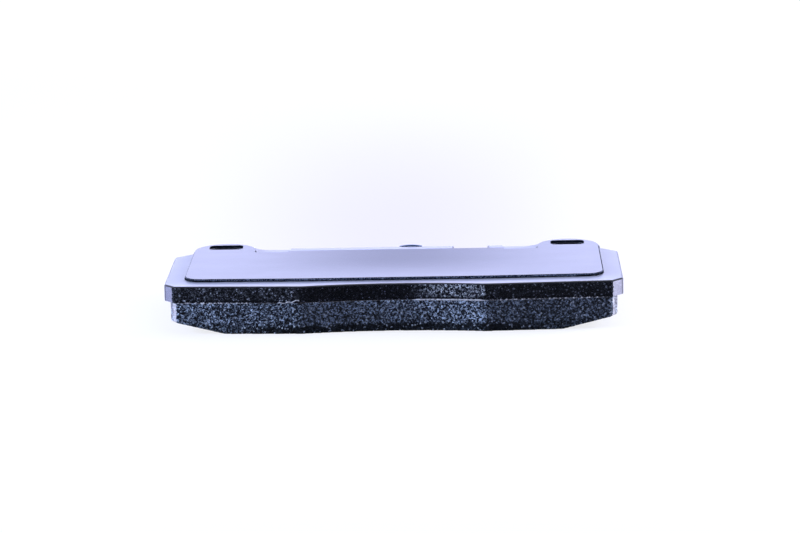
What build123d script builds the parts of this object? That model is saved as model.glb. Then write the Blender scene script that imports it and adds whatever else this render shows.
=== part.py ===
"""Disc brake pad for a fixed caliper that holds its pads on two cross pins.

The pad lies on its friction face. +Z points from the friction face to the back of the
pad, +Y points away from the wheel hub, towards the ears, and X runs along the pad. The
origin is under the middle of the pad, on the friction face.
"""
from build123d import *
import os

os.makedirs("parts", exist_ok=True)

# ---- overall sizes, in mm ----
pad_width = 156.0            # over the two end faces of the backing plate
pad_depth = 70.0             # from the inner edge of the lining to the top of the ears
plate_thickness = 5.6
lining_thickness = 8.6       # friction mix, below the underlayer
underlayer_thickness = 2.05
bond_thickness = 0.15        # adhesive film that the moulding is pressed onto

# ---- the shim's layers, from the plate outwards ----
shim_adhesive_thickness = 0.1
shim_rubber_thickness = 0.15
shim_core_thickness = 0.6

# ---- inner edge, the one nearest the hub ----
lobe_half_span = 31.0        # the two inner lobes lie this far each side of the middle
inner_arc_rise = 2.7         # hollow between the lobes
inner_edge_fall = 2.6        # how far each end lies behind its lobe
lobe_radius = 6.0

# ---- ears and their pin slots ----
ear_radius = 11.5
ear_inset = 5.9              # from the end faces in to the ears
valley_rise = 1.5            # from the middle of the ears up to the edge between them
ear_root_radius = 7.0        # where the ears blend into that edge
slot_length = 11.2
slot_width = 6.3
slot_above_ear_centre = 1.6

# ---- backing plate ----
shoulder_below_ear = 3.7     # from the middle of the ears down to the sloping shoulders
shoulder_rise = 5.2
plate_corner_cut = 3.7       # slanting cut across each corner of the inner edge
plate_corner_radius = 3.0    # where that cut runs into the end face
shoulder_radius = 2.2
edge_roll = 0.7              # rounded rim that the stamping die leaves on the back

# ---- land on the outer edge, with the notch that takes a wear sensor ----
land_gap = 11.0              # between each ear and the land
land_height = 3.5            # above the middle of the ears
land_corner_radius = 1.0
land_root_radius = 0.9
notch_from_land_end = 11.8   # from the land's right end in to the middle of the notch
notch_width = 12.0
notch_depth = 8.0
notch_floor_radius = 1.5

# ---- shim outline ----
shim_side_margin = 6.7       # from the plate's end faces to the shim
shim_front_margin = 8.2      # from the plate's lobes to the shim
shim_front_fall = 1.3
shim_corner_radius = 5.5
shim_land_setback = 9.0      # from the plate's land to the shim
shim_land_height = 2.0
shim_root_radius = 1.5
shim_slot_clearance = 0.35
shim_slot_corner_radius = 1.8
shim_web = 2.4               # shim left above each slot

# ---- moulded lining and underlayer ----
lining_overhang = 0.4        # the moulding stands proud of the plate's inner edge
lining_end_inset = 2.0
lining_corner_cut = 2.5
lining_corner_radius = 2.0
lining_outer_end_margin = 3.6    # from the shoulders down to the lining's outer corners
lining_outer_rise = 4.0
chamfer_length = 18.5
chamfer_height = 4.3

# ---- holes in the plate that the moulding keys into ----
key_diameter = 9.0
key_columns = 4
key_rows = 2
key_pitch_x = 36.0
key_pitch_y = 20.0

# ---- wear indicator on the outer edge ----
indicator_x = 5.0
indicator_width = 8.0
indicator_thickness = 0.9
indicator_stand = 0.45       # height of its crown above the back of the plate
indicator_crown = 0.4        # rise of the crown's arc
indicator_warning = 2.5      # lining that is left when its tip meets the disc
indicator_curl_radius = 2.2
indicator_curl_angle = 75.0
indicator_tip_width = 4.5
rivet_diameter = 3.0
rivet_clearance = 0.05
rivet_grip = 6.0             # shank inside the plate
rivet_head_diameter = 5.2
rivet_head_height = 1.1

# ---- levels and places that follow from these ----
underlayer_bottom = lining_thickness
bond_bottom = underlayer_bottom + underlayer_thickness
plate_bottom = bond_bottom + bond_thickness
plate_top = plate_bottom + plate_thickness
inner_rubber_bottom = plate_top + shim_adhesive_thickness
core_bottom = inner_rubber_bottom + shim_rubber_thickness
outer_rubber_bottom = core_bottom + shim_core_thickness

half_width = pad_width / 2
lining_inner_y = -pad_depth / 2
plate_inner_y = lining_inner_y + lining_overhang
ear_x = half_width - ear_inset - ear_radius
ear_y = pad_depth / 2 - ear_radius
valley_y = ear_y + valley_rise
ear_root_x = ear_x - (ear_radius**2 - valley_rise**2) ** 0.5
slot_y = ear_y + slot_above_ear_centre
shoulder_y = ear_y - shoulder_below_ear
side_top_y = shoulder_y - shoulder_rise
land_half = ear_x - ear_radius - land_gap
land_y = ear_y + land_height
notch_x = land_half - notch_from_land_end
shim_half_width = half_width - shim_side_margin
shim_ear_radius = shim_half_width - ear_x
shim_ear_top_y = slot_y + slot_width / 2 + shim_slot_clearance + shim_web
shim_ear_y = shim_ear_top_y - shim_ear_radius
shim_land_y = land_y - shim_land_setback
shim_valley_y = shim_land_y - shim_land_height
lining_outer_end_y = side_top_y - lining_outer_end_margin
key_middle_y = (lining_inner_y + lining_outer_end_y + lining_outer_rise) / 2
rivet_z = plate_bottom + plate_thickness / 2
indicator_top = plate_top + indicator_stand
curl_start_z = plate_bottom - indicator_warning + indicator_curl_radius


def corners_at(sketch, points):
    """The sketch's corners that lie nearest to the given points."""
    return [sketch.vertices().sort_by_distance(Vector(x, y, 0))[0] for x, y in points]


def both_sides(x, y):
    """A point and its mirror image."""
    return [(-x, y), (x, y)]


def inner_edge_points(half, lobe_y, fall):
    """Inner edge from left to right: an end, the two lobes and the other end."""
    end_y = lobe_y + fall
    return [(-half, end_y), *both_sides(lobe_half_span, lobe_y), (half, end_y)]


def hollow_inner_edge(sketch, lobe_y):
    """Cuts the shallow arc between the lobes and rounds the lobes."""
    radius = (lobe_half_span**2 + inner_arc_rise**2) / (2 * inner_arc_rise)
    with Locations((0, lobe_y + inner_arc_rise - radius)):
        Circle(radius, mode=Mode.SUBTRACT)
    fillet(corners_at(sketch, both_sides(lobe_half_span, lobe_y)), lobe_radius)


def cut_inner_corners(sketch, half, end_y, cut, radius):
    """Cuts the corners of the inner edge at a slant and rounds them into the end faces."""
    chamfer(corners_at(sketch, both_sides(half, end_y)), cut)
    fillet(corners_at(sketch, both_sides(half, end_y + cut)), radius)


def keys(mode=Mode.ADD):
    """Round keys between the moulding and the plate."""
    with Locations((0, key_middle_y)):
        with GridLocations(key_pitch_x, key_pitch_y, key_columns, key_rows):
            Circle(key_diameter / 2, mode=mode)


def plate_outline():
    """Stamped outline of the backing plate, with its slots and its sensor notch."""
    ear_outer_x = ear_x + ear_radius
    with BuildSketch() as outline:
        with BuildLine():
            Polyline(
                *inner_edge_points(half_width, plate_inner_y, inner_edge_fall),
                (half_width, side_top_y),
                (ear_outer_x, shoulder_y),
                (ear_outer_x, ear_y),
                (-ear_outer_x, ear_y),
                (-ear_outer_x, shoulder_y),
                (-half_width, side_top_y),
                close=True,
            )
        make_face()
        hollow_inner_edge(outline, plate_inner_y)
        with Locations(*both_sides(ear_x, ear_y)):
            Circle(ear_radius)
        with Locations((0, ear_y)):
            Rectangle(2 * ear_x, 2 * valley_rise)
            Rectangle(2 * land_half, 2 * land_height)
        end_y = plate_inner_y + inner_edge_fall
        cut_inner_corners(outline, half_width, end_y, plate_corner_cut, plate_corner_radius)
        shoulders = both_sides(half_width, side_top_y) + both_sides(ear_outer_x, shoulder_y)
        fillet(corners_at(outline, shoulders), shoulder_radius)
        fillet(corners_at(outline, both_sides(ear_root_x, valley_y)), ear_root_radius)
        fillet(corners_at(outline, both_sides(land_half, valley_y)), land_root_radius)
        fillet(corners_at(outline, both_sides(land_half, land_y)), land_corner_radius)
        with Locations((notch_x, land_y)):
            Rectangle(notch_width, 2 * notch_depth, mode=Mode.SUBTRACT)
        notch_floor = [(notch_x + side * notch_width / 2, land_y - notch_depth) for side in (-1, 1)]
        fillet(corners_at(outline, notch_floor), notch_floor_radius)
        with Locations(*both_sides(ear_x, slot_y)):
            SlotOverall(slot_length, slot_width, mode=Mode.SUBTRACT)
    return outline.sketch


def moulding_outline():
    """Outline that the lining and the underlayer share."""
    half = half_width - lining_end_inset
    with BuildSketch() as outline:
        with BuildLine():
            inner = Polyline(*inner_edge_points(half, lining_inner_y, inner_edge_fall))
            left = Line(inner @ 0, (-half, lining_outer_end_y))
            right = Line(inner @ 1, (half, lining_outer_end_y))
            ThreePointArc(left @ 1, (0, lining_outer_end_y + lining_outer_rise), right @ 1)
        make_face()
        hollow_inner_edge(outline, lining_inner_y)
        end_y = lining_inner_y + inner_edge_fall
        cut_inner_corners(outline, half, end_y, lining_corner_cut, lining_corner_radius)
        fillet(corners_at(outline, both_sides(half, lining_outer_end_y)), lining_corner_radius)
    return outline.sketch


def shim_outline():
    """Outline of every layer of the shim, with its squarish openings over the slots."""
    front_y = plate_inner_y + shim_front_margin
    ear_inner_x = ear_x - shim_ear_radius
    with BuildSketch() as outline:
        with BuildLine():
            Polyline(
                *inner_edge_points(shim_half_width, front_y, shim_front_fall),
                (shim_half_width, shim_ear_y),
                (ear_inner_x, shim_ear_y),
                (ear_inner_x, shim_valley_y),
                (-ear_inner_x, shim_valley_y),
                (-ear_inner_x, shim_ear_y),
                (-shim_half_width, shim_ear_y),
                close=True,
            )
        make_face()
        with Locations(*both_sides(ear_x, shim_ear_y)):
            Circle(shim_ear_radius)
        with Locations((0, shim_valley_y)):
            Rectangle(2 * land_half, 2 * shim_land_height)
        front_corners = both_sides(shim_half_width, front_y + shim_front_fall)
        fillet(corners_at(outline, front_corners), shim_corner_radius)
        fillet(corners_at(outline, both_sides(ear_inner_x, shim_valley_y)), shim_root_radius)
        opening = slot_length + 2 * shim_slot_clearance, slot_width + 2 * shim_slot_clearance
        with Locations(*both_sides(ear_x, slot_y)):
            RectangleRounded(*opening, shim_slot_corner_radius, mode=Mode.SUBTRACT)
    return outline.sketch


# ---- backing plate: one steel stamping, with keying holes and a rivet hole in its edge ----
with BuildPart() as backing_plate:
    with BuildSketch(Plane.XY.offset(plate_bottom)):
        add(plate_outline())
        keys(Mode.SUBTRACT)
    extrude(amount=plate_thickness)
    back_face = backing_plate.faces().sort_by(Axis.Z)[-1]
    fillet(back_face.outer_wire().edges(), edge_roll)
    with BuildSketch(Plane.XZ.offset(-land_y)):
        with Locations((indicator_x, rivet_z)):
            Circle(rivet_diameter / 2)
    extrude(amount=rivet_grip, mode=Mode.SUBTRACT)

# ---- bond film: cured adhesive, open at the keys ----
with BuildPart() as bond_film:
    with BuildSketch(Plane.XY.offset(bond_bottom)):
        add(moulding_outline() & plate_outline())
        keys(Mode.SUBTRACT)
    extrude(amount=bond_thickness)

# ---- underlayer: moulded under the lining, with pegs that fill the plate's holes ----
with BuildPart() as underlayer:
    with BuildSketch(Plane.XY.offset(underlayer_bottom)):
        add(moulding_outline())
    extrude(amount=underlayer_thickness)
    with BuildSketch(Plane.XY.offset(bond_bottom)):
        keys()
    extrude(amount=bond_thickness + plate_thickness)

# ---- friction lining, with a long lead-in chamfer at each end ----
with BuildPart() as friction_lining:
    with BuildSketch():
        add(moulding_outline())
    extrude(amount=lining_thickness)
    lining_half = half_width - lining_end_inset
    with BuildSketch(Plane.XZ):
        for side in (-1, 1):
            with BuildLine():
                Polyline(
                    (side * (lining_half - chamfer_length), 0),
                    (side * lining_half, 0),
                    (side * lining_half, chamfer_height),
                    close=True,
                )
            make_face()
    extrude(amount=pad_depth, both=True, mode=Mode.SUBTRACT)

# ---- shim: adhesive, rubber, steel and rubber, cut together to one outline ----
def shim_layer(level, thickness):
    with BuildPart() as layer:
        with BuildSketch(Plane.XY.offset(level)):
            add(shim_outline())
        extrude(amount=thickness)
    return layer


shim_adhesive = shim_layer(plate_top, shim_adhesive_thickness)
shim_inner_rubber = shim_layer(inner_rubber_bottom, shim_rubber_thickness)
shim_steel_core = shim_layer(core_bottom, shim_core_thickness)
shim_outer_rubber = shim_layer(outer_rubber_bottom, shim_rubber_thickness)

# ---- wear indicator: a spring-steel leaf on the outer edge, with a curled tip ----
with BuildPart() as wear_indicator:
    with BuildSketch(Plane.YZ.offset(indicator_x)):
        with BuildLine():
            leg = Line((land_y, indicator_top), (land_y, curl_start_z))
            JernArc(leg @ 1, leg % 1, indicator_curl_radius, indicator_curl_angle)
            offset(amount=indicator_thickness, side=Side.LEFT)
        make_face()
    extrude(amount=indicator_width / 2, both=True)
    with BuildSketch(Plane.XZ.offset(-land_y)):
        left_x = indicator_x - indicator_width / 2
        right_x = indicator_x + indicator_width / 2
        crown_end_z = indicator_top - indicator_crown
        with BuildLine():
            ThreePointArc((left_x, crown_end_z), (indicator_x, indicator_top), (right_x, crown_end_z))
            Polyline(
                (right_x, crown_end_z),
                (right_x, plate_bottom),
                (indicator_x + indicator_tip_width / 2, 0),
                (indicator_x - indicator_tip_width / 2, 0),
                (left_x, plate_bottom),
                (left_x, crown_end_z),
            )
        make_face()
    extrude(amount=-pad_depth / 2, mode=Mode.INTERSECT)
    with BuildSketch(Plane.XZ.offset(-land_y)):
        with Locations((indicator_x, rivet_z)):
            Circle(rivet_diameter / 2 + rivet_clearance)
    extrude(amount=-indicator_thickness, mode=Mode.SUBTRACT)

# ---- rivet that holds the indicator: a domed head and a shank driven into the edge ----
with BuildPart() as indicator_rivet:
    head_y = land_y + indicator_thickness
    head_radius = rivet_head_diameter / 2
    dome_radius = (rivet_head_height**2 + head_radius**2) / (2 * rivet_head_height)
    with BuildSketch(Plane.YZ.offset(indicator_x)):
        with BuildLine():
            Polyline(
                (head_y + rivet_head_height, rivet_z),
                (land_y - rivet_grip, rivet_z),
                (land_y - rivet_grip, rivet_z + rivet_diameter / 2),
                (head_y, rivet_z + rivet_diameter / 2),
                (head_y, rivet_z + head_radius),
            )
            RadiusArc((head_y, rivet_z + head_radius), (head_y + rivet_head_height, rivet_z), dome_radius)
        make_face()
    revolve(axis=Axis((indicator_x, 0, rivet_z), (0, 1, 0)))

for name, piece in (
    ("backing_plate", backing_plate),
    ("bond_film", bond_film),
    ("underlayer", underlayer),
    ("friction_lining", friction_lining),
    ("shim_adhesive", shim_adhesive),
    ("shim_inner_rubber", shim_inner_rubber),
    ("shim_steel_core", shim_steel_core),
    ("shim_outer_rubber", shim_outer_rubber),
    ("wear_indicator", wear_indicator),
    ("indicator_rivet", indicator_rivet),
):
    piece.part.label = name
    export_step(piece.part, f"parts/{name}.step")
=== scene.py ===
import math

import bmesh
import bpy
from mathutils import Matrix, Vector, noise


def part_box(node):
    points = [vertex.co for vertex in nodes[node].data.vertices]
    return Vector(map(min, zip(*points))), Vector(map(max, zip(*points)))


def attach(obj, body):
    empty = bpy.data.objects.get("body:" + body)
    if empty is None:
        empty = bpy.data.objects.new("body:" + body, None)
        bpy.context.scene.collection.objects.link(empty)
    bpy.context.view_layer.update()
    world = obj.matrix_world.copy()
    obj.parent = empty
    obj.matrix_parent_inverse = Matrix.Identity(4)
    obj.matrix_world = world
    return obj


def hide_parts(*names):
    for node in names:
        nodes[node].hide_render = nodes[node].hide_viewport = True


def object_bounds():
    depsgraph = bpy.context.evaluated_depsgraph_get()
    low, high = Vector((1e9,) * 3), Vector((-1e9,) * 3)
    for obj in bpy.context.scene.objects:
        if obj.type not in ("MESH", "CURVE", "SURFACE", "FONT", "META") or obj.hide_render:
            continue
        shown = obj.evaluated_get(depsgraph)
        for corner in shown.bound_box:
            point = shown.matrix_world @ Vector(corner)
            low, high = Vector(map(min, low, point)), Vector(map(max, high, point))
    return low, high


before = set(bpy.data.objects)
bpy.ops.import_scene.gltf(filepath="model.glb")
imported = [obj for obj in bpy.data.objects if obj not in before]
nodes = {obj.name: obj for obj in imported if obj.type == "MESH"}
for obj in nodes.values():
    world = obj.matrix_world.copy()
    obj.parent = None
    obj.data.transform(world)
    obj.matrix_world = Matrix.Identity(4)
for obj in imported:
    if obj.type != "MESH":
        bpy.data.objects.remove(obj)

cad_low, cad_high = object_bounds()
scene = bpy.context.scene


# ---- Backing plate ----------------------------------------------------------
# One 5.6 mm steel stamping. The die rolls the rim of its back face and leaves the cut edge
# grainy, and black powder coat covers all of it, so the grain still shows along the edge.

class Wire:
    """A socket in a material's node tree. Sums and products of wires add Math nodes."""

    def __init__(self, tree, socket):
        self.tree = tree
        self.socket = socket

    def node(self, kind, settings=None, inputs=None, output=0):
        """Adds a shader node: its settings first, then a value or a wire for each named socket."""
        made = self.tree.nodes.new("ShaderNode" + kind)
        for name, value in (settings or {}).items():
            setattr(made, name, value)
        for name, value in (inputs or {}).items():
            if isinstance(value, Wire):
                self.tree.links.new(value.socket, made.inputs[name])
            else:
                made.inputs[name].default_value = value
        return Wire(self.tree, made.outputs[output])

    def math(self, operation, first, second=0.0):
        return self.node("Math", {"operation": operation}, {0: first, 1: second})

    def __add__(self, other):
        return self.math("ADD", self, other)

    def __sub__(self, other):
        return self.math("SUBTRACT", self, other)

    def __mul__(self, other):
        return self.math("MULTIPLY", self, other)

    def __pow__(self, other):
        return self.math("POWER", self, other)

    def __gt__(self, other):
        return self.math("GREATER_THAN", self, other)

    def __lt__(self, other):
        return self.math("LESS_THAN", self, other)

    def __rsub__(self, other):
        return self.math("SUBTRACT", other, self)

    def __abs__(self):
        return self.math("ABSOLUTE", self)

    __radd__ = __add__
    __rmul__ = __mul__

    def clamp(self):
        """The value kept between 0 and 1."""
        return self.node("Clamp", inputs={"Value": self})

    def ramp(self, low, high):
        """0 where the value is low, 1 where it is high, and smooth between."""
        return self.node(
            "MapRange",
            {"interpolation_type": "SMOOTHSTEP"},
            {"Value": self, "From Min": low, "From Max": high},
        )

    def tint(self, dark, light):
        """A colour between two, by this value."""
        settings = {"data_type": "RGBA"}
        return self.node("Mix", settings, {0: self, 6: (*dark, 1.0), 7: (*light, 1.0)}, 2)

    def over(self, below, above):
        """One colour wire laid over another, where this value is 1."""
        return self.node("Mix", {"data_type": "RGBA"}, {0: self, 6: below, 7: above}, 2)


def new_finish(name, **constants):
    """A new material, its shader and its coordinates in metres along the pad's own axes."""
    material = bpy.data.materials.new(name)
    material.use_nodes = True
    tree = material.node_tree
    shader = tree.nodes["Principled BSDF"]
    for socket, value in constants.items():
        shader.inputs[socket.replace("_", " ")].default_value = value
    place = Wire(tree, tree.nodes.new("ShaderNodeTexCoord").outputs["Object"])
    return material, shader, place


def grain(place, size, detail=2.0, roughness=0.5):
    """Cloudy noise with lumps of the given size in metres."""
    inputs = {"Vector": place, "Scale": 1.0 / size, "Detail": detail, "Roughness": roughness}
    return place.node("TexNoise", inputs=inputs)


def cells(place, size, output=1):
    """Crystal-like cells of the given size: a colour for each cell, or its distance."""
    return place.node("TexVoronoi", inputs={"Vector": place, "Scale": 1.0 / size}, output=output)


def part_of(vector, axis):
    """One of a vector's three numbers."""
    return vector.node("SeparateXYZ", inputs={"Vector": vector}, output=axis)


def feed(shader, socket, wire):
    wire.tree.links.new(wire.socket, shader.inputs[socket])


def relief(shader, height, depth):
    """Bumps the surface by a height wire, at the given depth in metres."""
    bump = height.node("Bump", inputs={"Height": height, "Distance": depth})
    feed(shader, "Normal", bump)


def facets(shader, place, size, tilt, height):
    """Turns each grain's surface its own way, by the given tilt, and bumps it finely as well."""
    turned = place.node(
        "VectorMath", {"operation": "SUBTRACT"}, {0: (0.5, 0.5, 0.5), 1: cells(place, size)}
    )
    turned = place.node("VectorMath", {"operation": "SCALE"}, {0: turned, "Scale": tilt})
    straight = place.node("NewGeometry", output=1)
    turned = place.node("VectorMath", {"operation": "ADD"}, {0: straight, 1: turned})
    turned = place.node("VectorMath", {"operation": "NORMALIZE"}, {0: turned})
    bump = height.node("Bump", inputs={"Height": height, "Distance": 0.00015, "Normal": turned})
    feed(shader, "Normal", bump)


def coat(node, material):
    """Gives a CAD node one material all over."""
    mesh = nodes[node].data
    mesh.materials.clear()
    mesh.materials.append(material)


# Where the inner corners lead into the caliper they are rubbed through to pale bare steel, and
# that pale colour is also partly a painted highlight for the side lamps. Dust sits in the grain
# of the inner edge, and where it gathers is partly painted light and shade.
plate_low, plate_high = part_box("backing_plate")
corner_cut = 0.0037
inner_edge_fall = 0.0026
lobe_span = 0.031
grain_size = 0.00038
steel_rub_margin = 0.0013
left_rub_shift = 0.0009
inner_wall_fade = (-0.025, -0.02)
dust_over_painted_shadow_from, dust_over_painted_shadow_full = 0.0006, 0.0014

powder, shader, place = new_finish(
    "black_powder_coat",
    Specular_IOR_Level=0.15,
    Coat_Roughness=0.34,
    Sheen_Weight=1.0,
    Sheen_Roughness=0.25,
    Sheen_Tint=(0.71, 0.74, 1.0, 1.0),
)
facing = place.node("NewGeometry", output=1)
side = abs(part_of(facing, 0))
lift = abs(part_of(facing, 2))
place_x, place_y, place_z = part_of(place, 0), part_of(place, 1), part_of(place, 2)
edge = 1.0 - lift.ramp(0.1, 0.6)

left_end = place_x < 0.0
jag = (grain(place, 0.0009, 2.0) - 0.5) * 0.0011
corner_line = plate_high.x - plate_low.y - inner_edge_fall - corner_cut
# The pale corner strips: bare steel, and partly a painted highlight for the side lamps. On the
# rounded outer edge the strip fades part way, as a painted bluish reflection.
bare_and_painted_lit_corners = abs(place_x) - place_y > corner_line - steel_rub_margin
bare_and_painted_lit_corners = bare_and_painted_lit_corners * (abs(place_x) + jag > plate_high.x - corner_cut + left_end * left_rub_shift)
bare_and_painted_lit_corners = bare_and_painted_lit_corners * (1.0 - side.ramp(0.76, 0.86) * 0.65) * (1.0 - lift.ramp(0.1, 0.5))

# Only the inner edge's wall takes dust; the walls further back, in the slots, stay clean black as
# painted shade.
inner_edge_wall = edge * (1.0 - place_y.ramp(*inner_wall_fade)) * (1.0 - side.ramp(0.3, 0.6))
past_lobe = place_x.ramp(lobe_span - 0.0005, lobe_span + 0.0006)
# How much dust each length holds is partly painted light: most along the hollow that faces the left
# lamp, a little on the left end and past the right lobe. The lowest millimetre of the wall stays
# clean, as a painted shadow under the plate's edge.
hollow_dust_and_painted_light = place_x.ramp(0.004, 0.02) * (1.0 - past_lobe)
left_dust_and_painted_light = 1.0 - place_x.ramp(-lobe_span - 0.004, -lobe_span + 0.002)
dust_and_painted_light = hollow_dust_and_painted_light * 1.6 + left_dust_and_painted_light * 0.11 + past_lobe * 0.06
dust_and_painted_light = dust_and_painted_light * place_z.ramp(plate_low.z + dust_over_painted_shadow_from, plate_low.z + dust_over_painted_shadow_full) * inner_edge_wall

speck = part_of(cells(place, grain_size), 0) ** 2.8
settled = part_of(cells(place, 0.0006), 2) > 0.22
clump = grain(place, 0.0016, 3.0, 0.6).ramp(0.25, 0.65)
# The loose flecks here and the specks below are dust, and their pale bluish colour is also a
# painted glint of the left lamp on the grain.
flecks = part_of(cells(place, 0.00042), 1) > 0.95
loose_flecks_and_painted_glints = flecks * inner_edge_wall * (left_dust_and_painted_light + past_lobe * 0.6 + 0.12)
smears = grain(place, 0.009, 3.0, 0.55)
fine = grain(place, 0.0012, 1.0)
clean = smears.tint((0.003, 0.004, 0.006), (0.008, 0.009, 0.014))
dust_specks_and_painted_glints = (speck * settled * (0.6 + clump * 0.7)).tint((0.002, 0.003, 0.006), (0.77, 0.82, 1.0))
paint = (loose_flecks_and_painted_glints * 0.45).clamp().over(dust_and_painted_light.over(clean, dust_specks_and_painted_glints), (0.74, 0.80, 1.0, 1.0))
# The left end's strip is painted darker, as painted shade against the stronger left lamp.
bareness_and_painted_left_shade = (0.3 * speck + 0.7 * smears - left_end * 0.5).clamp()
bare_steel_and_painted_highlight = bareness_and_painted_left_shade.tint((0.245, 0.23, 0.32), (0.75, 0.75, 0.88))
feed(shader, "Base Color", bare_and_painted_lit_corners.over(paint, bare_steel_and_painted_highlight))
feed(shader, "Roughness", 0.42 + smears * 0.1 + edge * 0.1)
thick = 1.0 - place_y.ramp(-0.032, -0.028)
feed(shader, "Coat Weight", (0.50 + smears * 0.25 + thick * 0.35) * (1.0 - edge))
tilt = inner_edge_wall * (1.0 - bare_and_painted_lit_corners) * 1.7 + edge * 0.1
facets(shader, place, grain_size, tilt, fine * 0.1 * (1.0 - edge) + speck * edge)
coat("backing_plate", powder)


# ---- Friction lining and underlayer -----------------------------------------
# A moulded block of resin, fibre, mineral and metal grains. Its walls keep the mould's
# rough skin, and the rubbing face and the end chamfers are ground; the chamfers' pale colour
# is also partly a painted highlight for the side lamps.

lining_low, lining_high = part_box("friction_lining")
underlayer_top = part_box("bond_film")[0].z
lining_corner_cut = 0.0025
grit_size = 0.00038
skin_cell = 0.00042
ground_margin = 0.0011

friction, shader, place = new_finish("friction_mix", Specular_IOR_Level=0.25)
end_wall = abs(part_of(place.node("NewGeometry", output=1), 0)).ramp(0.85, 0.98)
place_x, place_y, place_z = part_of(place, 0), part_of(place, 1), part_of(place, 2)
left_end = place_x < 0.0
jag = (grain(place, 0.0009, 2.0) - 0.5) * 0.0012
corner_line = lining_high.x - lining_low.y - inner_edge_fall - lining_corner_cut
# The ground corners are pale, and partly a painted highlight for the side lamps; on the outer band
# they fade part way, as a painted bluish reflection.
bare_and_painted_lit_corners = abs(place_x) - place_y > corner_line - ground_margin
rub_start = lining_high.x - lining_corner_cut + 0.0007
bare_and_painted_lit_corners = bare_and_painted_lit_corners * (abs(place_x) + jag > rub_start - left_end * 0.0004)
outer_band = abs(place_x).ramp(lining_high.x - 0.0014, lining_high.x - 0.0009)
bare_and_painted_lit_corners = bare_and_painted_lit_corners * (1.0 - outer_band * 0.55)

speck = part_of(cells(place, grit_size), 0) ** 2.6
clump = grain(place, 0.0014, 3.0, 0.6).ramp(0.25, 0.6)
flake = part_of(cells(place, 0.00055), 1)
jagged_z = place_z + (grain(place, 0.0016, 3.0, 0.7) - 0.5) * 0.0024
foot = 0.5 + 0.42 * place_x.ramp(-0.060, -0.036) * (1.0 - place_x.ramp(0.040, 0.052))
dark_foot = foot * (1.0 - jagged_z.ramp(0.0022, 0.0036))
# Along the hollow the grit is painted lighter, as painted light: on its right half, which faces the
# left lamp, and on its left half, which no lamp reaches.
past_left_lobe = place_x.ramp(-lobe_span - 0.001, -lobe_span + 0.001)
past_right_lobe = place_x.ramp(lobe_span - 0.0005, lobe_span + 0.0008)
lit_hollow = place_x.ramp(0.0, 0.02) * (1.0 - past_right_lobe)
painted_light_left_hollow = past_left_lobe * (1.0 - place_x.ramp(-0.004, 0.006))
# The end walls are painted darker, with fewer bright flakes, as painted shade against the side
# lamps. The grit is also darker towards the bottom over the middle of the pad.
clumps_and_painted_light = (0.5 + clump * 0.6) * (1.0 - dark_foot) * (1.0 - end_wall * 0.6)
clumps_and_painted_light = clumps_and_painted_light * (0.88 + lit_hollow * 0.70 + painted_light_left_hollow * 0.60)
body = (speck * clumps_and_painted_light).tint((0.004, 0.006, 0.010), (0.54, 0.645, 0.89))
bright_flakes = (flake > 0.955 - dark_foot * 0.03) * (0.8 - end_wall * 0.5)
body = bright_flakes.over(body, (0.62, 0.69, 0.86, 1.0))
body = ((flake < 0.2) * 0.85).over(body, (0.004, 0.005, 0.008, 1.0))
# The left end is painted darker, as painted shade against the stronger left lamp.
bareness_and_painted_left_shade = (speck * 0.4 + clump * 0.6 - left_end * 0.4).clamp()
ground_and_painted_highlight = bareness_and_painted_left_shade.tint((0.35, 0.30, 0.36), (0.82, 0.87, 1.0))
feed(shader, "Base Color", bare_and_painted_lit_corners.over(body, ground_and_painted_highlight))
feed(shader, "Roughness", 0.5 + speck * 0.25)
facets(shader, place, grit_size, (1.0 - bare_and_painted_lit_corners) * 1.6, speck * 0.6 + clump * 0.5)


def moulded_block(voxel):
    """The lining and underlayer as one block of fine cells, its skin pressed in by grit."""
    mesh = nodes["friction_lining"].data.copy()
    for vertex in mesh.vertices:
        if vertex.co.z > lining_high.z - 1e-5:
            vertex.co.z = underlayer_top
    piece = bpy.data.objects.new("moulded_lining", mesh)
    scene.collection.objects.link(piece)
    remesh = piece.modifiers.new("cells", "REMESH")
    remesh.mode = "VOXEL"
    remesh.voxel_size = voxel
    graph = bpy.context.evaluated_depsgraph_get()
    fine = bpy.data.meshes.new_from_object(piece.evaluated_get(graph))
    piece.modifiers.clear()
    piece.data = fine
    low, high = lining_low, Vector((lining_high.x, lining_high.y, underlayer_top))
    shape = bmesh.new()
    shape.from_mesh(fine)
    shape.normal_update()
    for vertex in shape.verts:
        spot = vertex.co * 1000.0
        grit_depth = 0.5 + 0.5 * noise.noise(spot * 1.9)
        lump_depth = 0.5 + 0.5 * noise.noise(spot * 0.45)
        pit = max(0.0, noise.noise(spot * 0.9 + Vector((31.0, 7.0, 5.0))) - 0.42)
        wall = 1.0 - abs(vertex.normal.z)
        depth = 0.02 + wall * (0.14 * grit_depth + 0.10 * lump_depth) + 0.5 * pit
        vertex.co -= vertex.normal * (depth * 0.001)
    for vertex in shape.verts:
        for axis in range(3):
            vertex.co[axis] = min(max(vertex.co[axis], low[axis]), high[axis])
    shape.to_mesh(fine)
    shape.free()
    for face in fine.polygons:
        face.use_smooth = True
    fine.materials.clear()
    fine.materials.append(friction)
    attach(piece, "root")
    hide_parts("friction_lining", "underlayer")


moulded_block(skin_cell)

film, shader, place = new_finish("bonding_film", Roughness=0.4)
feed(shader, "Base Color", grain(place, 0.002).tint((0.02, 0.012, 0.008), (0.05, 0.03, 0.018)))
coat("bond_film", film)


# ---- Noise shim --------------------------------------------------------------
# A steel sheet between two rubber coats, glued to the plate and cut to one outline. The outer
# coat is satin black rubber with a fine grain, and handling leaves it a little uneven.

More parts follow.
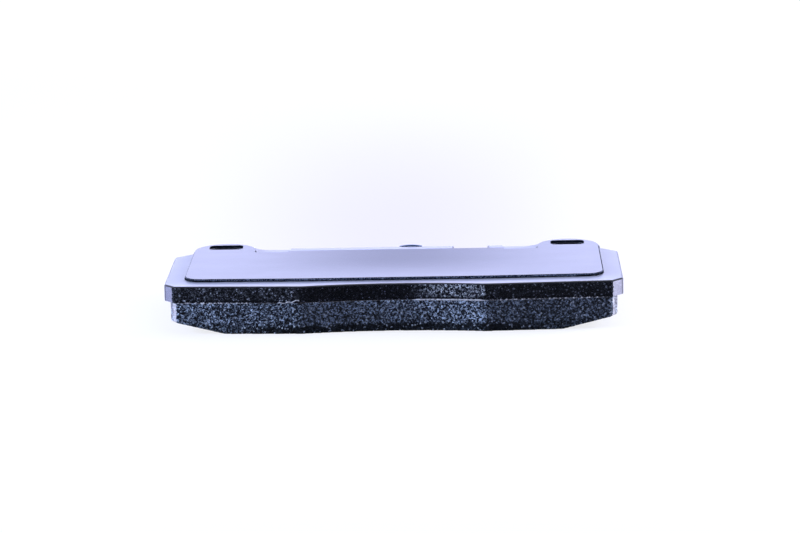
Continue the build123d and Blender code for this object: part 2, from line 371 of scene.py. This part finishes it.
rubber, shader, place = new_finish(
    "shim_rubber",
    Coat_Roughness=0.3,
    Sheen_Weight=0.25,
    Sheen_Roughness=0.35,
    Sheen_Tint=(0.62, 0.66, 1.0, 1.0),
)
fine = grain(place, 0.00035, 2.0)
lengthwise = place.node("Mapping", inputs={"Vector": place, "Scale": (0.5, 1.0, 1.0)})
smears = grain(lengthwise, 0.010, 4.0, 0.6)
off_middle = abs(part_of(place, 0) - 0.002)
dull = (1.0 - off_middle.ramp(0.0, 0.066)) * part_of(place, 1).ramp(-0.034, 0.004)
feed(shader, "Base Color", smears.ramp(0.3, 0.7).tint((0.010, 0.010, 0.014), (0.022, 0.022, 0.030)))
feed(shader, "Roughness", 0.32 + smears * 0.18 + fine * 0.06 + dull * 0.12)
feed(shader, "Coat Weight", (0.16 + smears * 0.5) * (1.0 - dull * 0.75))
relief(shader, fine, 0.00003)
coat("shim_outer_rubber", rubber)
coat("shim_inner_rubber", rubber)

sheet, shader, place = new_finish("shim_steel", Metallic=1.0, Roughness=0.35)
# The torn edge of the steel shows paler along the front only; further back, in the slots, it is
# kept dark as painted shade.
torn_edge_and_painted_slot_shade = grain(place, 0.00035, 2.0, 0.6) * (1.0 - part_of(place, 1).ramp(-0.01, 0.01) * 0.85)
feed(shader, "Base Color", torn_edge_and_painted_slot_shade.ramp(0.4, 0.65).tint((0.05, 0.07, 0.11), (0.50, 0.60, 0.82)))
facets(shader, place, 0.0004, torn_edge_and_painted_slot_shade * 1.6, torn_edge_and_painted_slot_shade)
coat("shim_steel_core", sheet)

glue, shader, place = new_finish("shim_glue", Specular_IOR_Level=0.03)
crumbs = grain(place, 0.0005, 2.0)
feed(shader, "Base Color", crumbs.tint((0.004, 0.005, 0.008), (0.018, 0.020, 0.028)))
feed(shader, "Roughness", 0.75 + crumbs * 0.2)
relief(shader, crumbs, 0.0002)
coat("shim_adhesive", glue)


# A dark uneven bead, in the adhesive's finish, runs all round the foot of the shim, thicker along
# its sides.

def outer_loop(node):
    """The outline of a flat CAD node, in order, at its lowest level."""
    shape = bmesh.new()
    shape.from_mesh(nodes[node].data)
    bmesh.ops.remove_doubles(shape, verts=shape.verts, dist=1e-6)
    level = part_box(node)[0].z + 1e-5
    rim = [
        edge for edge in shape.edges
        if all(vertex.co.z < level for vertex in edge.verts)
        and any(abs(face.normal.z) < 0.5 for face in edge.link_faces)
    ]
    follow = {}
    for edge in rim:
        first, second = edge.verts
        follow.setdefault(first, []).append(second)
        follow.setdefault(second, []).append(first)
    start = min(follow, key=lambda vertex: vertex.co.x)
    loop, last, here = [], None, start
    while here is not start or not loop:
        loop.append(here.co.copy())
        last, here = here, next(near for near in follow[here] if near is not last)
    shape.free()
    return loop


def evenly(loop, step):
    """Points at even steps round a closed outline, each with its outward direction."""
    spots, left = [], 0.0
    turn = sum(a.x * b.y - b.x * a.y for a, b in zip(loop, loop[1:] + loop[:1]))
    for first, second in zip(loop, loop[1:] + loop[:1]):
        run = second - first
        outward = Vector((run.y, -run.x, 0.0)).normalized() * (1.0 if turn > 0 else -1.0)
        while left < run.length:
            spots.append((first + run * (left / run.length), outward))
            left += step
        left -= run.length
    return spots


def bead(name, spots, radius_at, rise, finish, closed=False, sides=6):
    """A tube of uneven thickness that follows an outline."""
    shape = bmesh.new()
    rings = []
    for spot, outward in spots:
        radius = radius_at(spot)
        ring = []
        for side in range(sides):
            turn = 2.0 * math.pi * side / sides
            place = spot + outward * radius * math.cos(turn)
            height = place.z + rise + radius * math.sin(turn)
            ring.append(shape.verts.new((place.x, place.y, height)))
        rings.append(ring)
    pairs = zip(rings, rings[1:] + rings[:1]) if closed else zip(rings, rings[1:])
    for first, second in pairs:
        for side in range(sides):
            after = (side + 1) % sides
            shape.faces.new((first[side], first[after], second[after], second[side]))
    if not closed:
        shape.faces.new(rings[0])
        shape.faces.new(rings[-1])
    bmesh.ops.recalc_face_normals(shape, faces=shape.faces)
    mesh = bpy.data.meshes.new(name)
    shape.to_mesh(mesh)
    shape.free()
    for face in mesh.polygons:
        face.use_smooth = True
    mesh.materials.append(finish)
    piece = bpy.data.objects.new(name, mesh)
    scene.collection.objects.link(piece)
    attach(piece, "root")
    return piece


dark_bead_thin, dark_bead_swell, dark_bead_at_sides = 0.00020, 0.00016, 0.00016
dark_bead_step, dark_bead_height, sides_from = 0.0006, 0.0001, 0.062


def dark_bead_radius(spot):
    swell = 0.5 + 0.5 * noise.noise(spot * 350.0)
    along_side = dark_bead_at_sides if abs(spot.x) > sides_from else 0.0
    return dark_bead_thin + dark_bead_swell * swell + along_side


outline = evenly(outer_loop("shim_adhesive"), dark_bead_step)
dark_shim_bead = bead("shim_dark_bead", outline, dark_bead_radius, dark_bead_height, glue, closed=True)


# ---- Flash along the joint ---------------------------------------------------
# Resin and adhesive squeezed out where the moulding stands proud of the plate's inner edge.
# It set as a thin broken bead in the corner between the two, and was painted over. Its pale
# colour is a painted highlight for the lit top of the ledge.

resin_with_painted_highlight, shader, place = new_finish("resin_painted_highlight", Specular_IOR_Level=0.5)
lumps = grain(place, 0.0009, 2.0)
feed(shader, "Base Color", lumps.ramp(0.3, 0.55).tint((0.30, 0.30, 0.36), (0.80, 0.80, 0.90)))
feed(shader, "Roughness", 0.3 + lumps * 0.2)
relief(shader, lumps, 0.0002)

arc_rise = 0.0027
arc_radius = (lobe_span**2 + arc_rise**2) / (2 * arc_rise)
joint_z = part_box("bond_film")[0].z


def inner_edge(x):
    """Where the moulding's inner edge runs: a hollow arc between two lobes, then to the ends."""
    if abs(x) < lobe_span:
        return lining_low.y + arc_rise - arc_radius + math.sqrt(arc_radius**2 - x**2)
    return lining_low.y + inner_edge_fall * (abs(x) - lobe_span) / (lining_high.x - lobe_span)


def between(x, low, high, soft):
    """1 from low to high and 0 outside, with soft ends."""
    rise, fall = (x - low) / soft, (high - x) / soft
    return min(1.0, max(0.0, rise)) * min(1.0, max(0.0, fall))


def flash_radius(spot):
    dots = min(1.0, max(0.0, noise.noise(Vector((spot.x * 1500.0, 3.0, 0.0))) * 2.6 + 0.1))
    left_run = between(spot.x, -0.074, -0.048, 0.003)
    lip_run = between(spot.x, 0.006, 0.032, 0.003)
    right_run = between(spot.x, 0.032, 0.072, 0.004)
    dotted = 0.00044 * dots * (left_run + 0.8 * right_run + 0.2 * lip_run)
    return 0.00002 + dotted + 0.00026 * lip_run


half_run = lining_high.x - lining_corner_cut
step = 0.0003
bead_stand, bead_rise, bead_wander = 0.00026, 0.00006, 0.00006
towards_hub = Vector((0.0, -1.0, 0.0))
spots = []
for index in range(int(2 * half_run / step) + 1):
    x = -half_run + index * step
    wander = bead_wander * noise.noise(Vector((x * 500.0, 1.0, 9.0)))
    spots.append((Vector((x, inner_edge(x) + bead_stand + wander, joint_z)), towards_hub))
flash = bead("joint_flash", spots, flash_radius, bead_rise, resin_with_painted_highlight)

# One thread of it has curled up onto the face of the plate.
moulding_proud, thread_sunk = 0.0004, 0.00008
curl_start, curl_end, curl_rise = -0.0390, -0.0318, 0.0011
curl_steps = 60
spots = []
for index in range(curl_steps + 1):
    along = index / curl_steps
    x = curl_start + (curl_end - curl_start) * along
    z = joint_z + curl_rise * along**2 + 0.00017 * math.sin(along * 17.0)
    spots.append((Vector((x, inner_edge(x) + moulding_proud - thread_sunk, z)), towards_hub))


def thread_radius(spot):
    return 0.00020 + 0.00012 * noise.noise(spot * 900.0)


curl = bead("flash_curl", spots, thread_radius, 0.0, resin_with_painted_highlight)


# ---- Wear indicator and its rivet --------------------------------------------
# A leaf of spring steel with a blued finish, riveted to the outer edge of the plate.

spring, shader, place = new_finish("blued_spring_steel", Metallic=1.0)
brushing = grain(place.node("Mapping", inputs={"Vector": place, "Scale": (1.0, 1.0, 12.0)}), 0.003)
feed(shader, "Base Color", brushing.tint((0.05, 0.10, 0.19), (0.11, 0.19, 0.31)))
feed(shader, "Roughness", 0.3 + brushing * 0.2)
coat("wear_indicator", spring)

rivet, shader, place = new_finish("rivet_steel", Metallic=1.0)
dents = grain(place, 0.0008, 2.0)
feed(shader, "Base Color", dents.tint((0.2, 0.2, 0.22), (0.34, 0.34, 0.36)))
feed(shader, "Roughness", 0.3 + dents * 0.2)
coat("indicator_rivet", rivet)


# ---- Floor -------------------------------------------------------------------
# A white sheet that runs well past the view. It shows nearly white to the camera and keeps
# the pad's soft shadow.

floor_size = 3.0
floor_mesh = bpy.data.meshes.new("floor")
quarters = ((-1, -1), (1, -1), (1, 1), (-1, 1))
corners = [(x * floor_size, y * floor_size, cad_low.z) for x, y in quarters]
floor_mesh.from_pydata(corners, [], [(0, 1, 2, 3)])
floor = bpy.data.objects.new("floor", floor_mesh)
scene.collection.objects.link(floor)
paper, shader, place = new_finish("floor_paper", Specular_IOR_Level=0.0, Emission_Strength=1.0)
place_x, place_y = part_of(place, 0), part_of(place, 1)
# Behind the pad the glow is painted a little darker and bluer: a painted shadow.
painted_shadow_behind_pad = (1.0 - abs(place_x).ramp(0.0, 0.13)) * (1.0 - place_y.ramp(0.12, 0.5))
painted_shadow_behind_pad = painted_shadow_behind_pad * place_y.ramp(-0.03, 0.06)
seen = place.node("LightPath")
glow = painted_shadow_behind_pad.tint((0.77, 0.77, 0.79), (0.60, 0.57, 0.68))
black = (0.0, 0.0, 0.0, 1.0)
fibres = grain(place, 0.0015, 3.0)
feed(shader, "Base Color", fibres.tint((0.205, 0.212, 0.235), (0.215, 0.222, 0.245)))
feed(shader, "Roughness", 0.85 + fibres * 0.1)
feed(shader, "Emission Color", seen.over(black, glow))
floor_mesh.materials.append(paper)


# ---- Studio ------------------------------------------------------------------
# A bright white room behind the pad, darker on the camera's side, with soft panels behind,
# above, left and right. The two at the sides are kept out of reflections.

world = bpy.data.worlds.new("studio")
scene.world = world
world.use_nodes = True
tree = world.node_tree
sky = tree.nodes["Background"]
direction = Wire(tree, tree.nodes.new("ShaderNodeTexCoord").outputs["Generated"])
behind = part_of(direction, 1).ramp(-0.35, 0.45)
seen = Wire(tree, tree.nodes.new("ShaderNodeLightPath").outputs["Is Camera Ray"])
room = behind.tint((0.17, 0.20, 0.28), (0.72, 0.75, 1.0))
feed(sky, "Color", seen.over(room, (1.0, 1.0, 1.0, 1.0)))
scene.view_settings.view_transform = "Standard"


def panel(name, place, aim, width, height, radiance, colour, mirrored=True):
    """A soft panel of the given brightness, turned towards a point, and seen in gloss or not."""
    light = bpy.data.lights.new(name, "AREA")
    light.shape = "RECTANGLE"
    light.size = width
    light.size_y = height
    light.energy = radiance * math.pi * width * height
    light.color = colour
    lamp = bpy.data.objects.new(name, light)
    scene.collection.objects.link(lamp)
    lamp.location = place
    lamp.rotation_euler = (Vector(aim) - Vector(place)).to_track_quat("-Z", "Y").to_euler()
    lamp.visible_camera = False
    lamp.visible_glossy = mirrored


cool = (0.86, 0.88, 1.0)
middle = (cad_low + cad_high) / 2
panel("back_panel", (0.0, 0.9, 0.35), middle, 2.0, 0.5, 2.8, (0.62, 0.64, 1.0))
panel("left_panel", (-0.5, -0.061, 0.13), middle, 0.08, 0.3, 64.0, (0.68, 0.80, 1.0), False)
panel("right_panel", (0.5, 0.09, 0.15), middle, 0.22, 0.3, 23.0, cool, False)
panel("top_panel", (0.35, -0.1, 0.8), middle, 0.8, 0.8, 0.8, (1.0, 0.95, 0.92))


# ---- Camera ------------------------------------------------------------------
# A long lens low over the table, square to the pad's inner edge but for a degree or so.

elevation = math.radians(12.591)
swing = math.radians(-1.423)
tilt = math.radians(-1.203)
distance = 1.186
aim = Vector((0.0, 0.0676, cad_low.z))
forward = Vector((
    math.sin(swing) * math.cos(elevation),
    math.cos(swing) * math.cos(elevation),
    -math.sin(elevation),
))
level = Vector((math.cos(swing), -math.sin(swing), 0.0))
over = level.cross(forward)
right = math.cos(tilt) * level + math.sin(tilt) * over
up = right.cross(forward)
lens = bpy.data.cameras.new("camera")
lens.sensor_width = 36.0
lens.lens = 144.4
lens.clip_start = 0.01
camera = bpy.data.objects.new("camera", lens)
scene.collection.objects.link(camera)
camera.matrix_world = Matrix.Translation(aim - distance * forward) @ Matrix(
    (right, up, -forward)
).transposed().to_4x4()
scene.camera = camera
